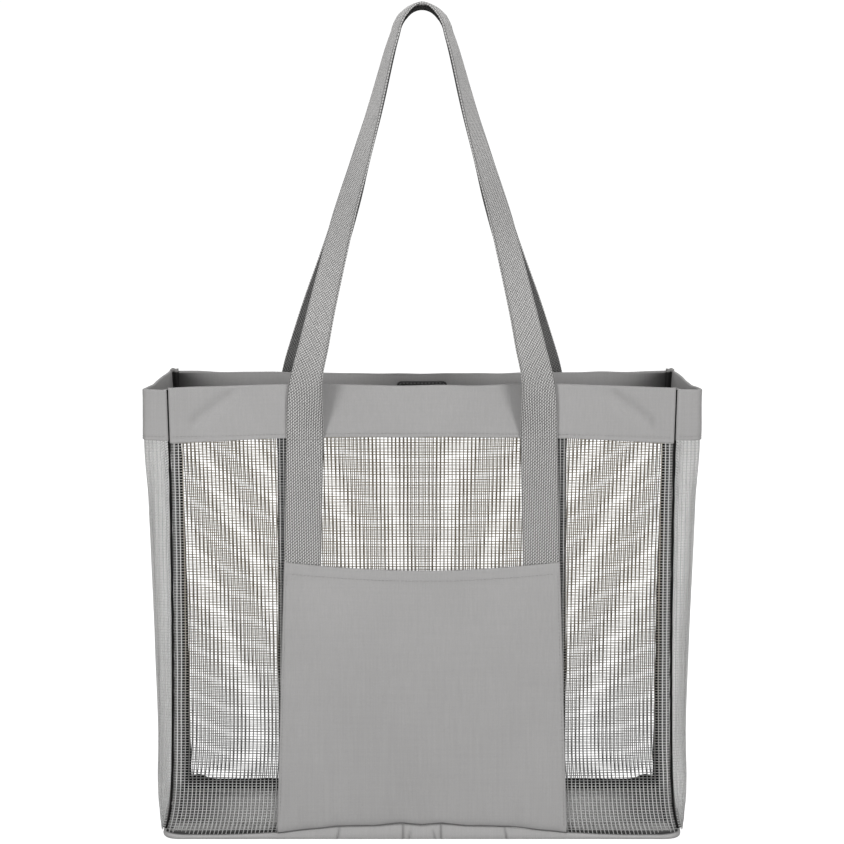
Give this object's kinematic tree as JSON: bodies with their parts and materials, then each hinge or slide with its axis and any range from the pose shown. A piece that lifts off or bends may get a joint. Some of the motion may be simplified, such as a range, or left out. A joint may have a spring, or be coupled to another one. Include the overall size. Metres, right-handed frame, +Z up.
{
  "type": "beach bag",
  "caption": "Open beach tote of coated mesh with cloth rim band, cloth base, front pocket and webbing handles.",
  "frame": {"origin": "on the floor, under the middle of the bag's bounding box", "axes": "+Z up, the front with the pocket faces -Y, +X to the right seen from the front"},
  "size_m": [0.4752, 0.1628, 0.7138],
  "materials": {
    "coated_mesh": "open woven mesh of coated yarn, satin",
    "woven_cloth": "plain weave polyester, matte",
    "webbing": "flat woven webbing, slight sheen",
    "binding_tape": "matte ribbed tape",
    "hook_tape": "dense short hooks",
    "loop_tape": "brushed loops",
    "thread": "twisted sewing thread"
  },
  "bodies": {
    "bag": {"front_mesh_panel": "coated_mesh", "rear_mesh_panel": "coated_mesh", "left_gusset_mesh": "coated_mesh", "right_gusset_mesh": "coated_mesh", "front_top_band": "woven_cloth", "rear_top_band": "woven_cloth", "left_top_band": "woven_cloth", "right_top_band": "woven_cloth", "base_panel": "woven_cloth", "front_pocket": "woven_cloth", "pocket_hem": "woven_cloth", "base_binding": "binding_tape", "front_left_binding": "binding_tape", "front_right_binding": "binding_tape", "rear_left_binding": "binding_tape", "rear_right_binding": "binding_tape", "front_left_strap": "webbing", "front_right_strap": "webbing", "rear_left_strap": "webbing", "rear_right_strap": "webbing", "hook_patch": "hook_tape", "loop_patch": "loop_tape", "band_stitching": "thread", "pocket_stitching": "thread", "strap_stitching": "thread", "patch_stitching": "thread"},
    "front_loop": {"front_handle": "webbing"},
    "rear_loop": {"rear_handle": "webbing"}
  },
  "joints": [
    {"name": "front_handle_swing", "type": "hinge", "parent": "bag", "child": "front_loop", "pos_m": [0, -0.0565, 0.35], "axis": [1, 0, 0], "range_deg": [0, 150]},
    {"name": "rear_handle_swing", "type": "hinge", "parent": "bag", "child": "rear_loop", "pos_m": [0, 0.059, 0.35], "axis": [-1, 0, 0], "range_deg": [0, 150]}
  ]
}
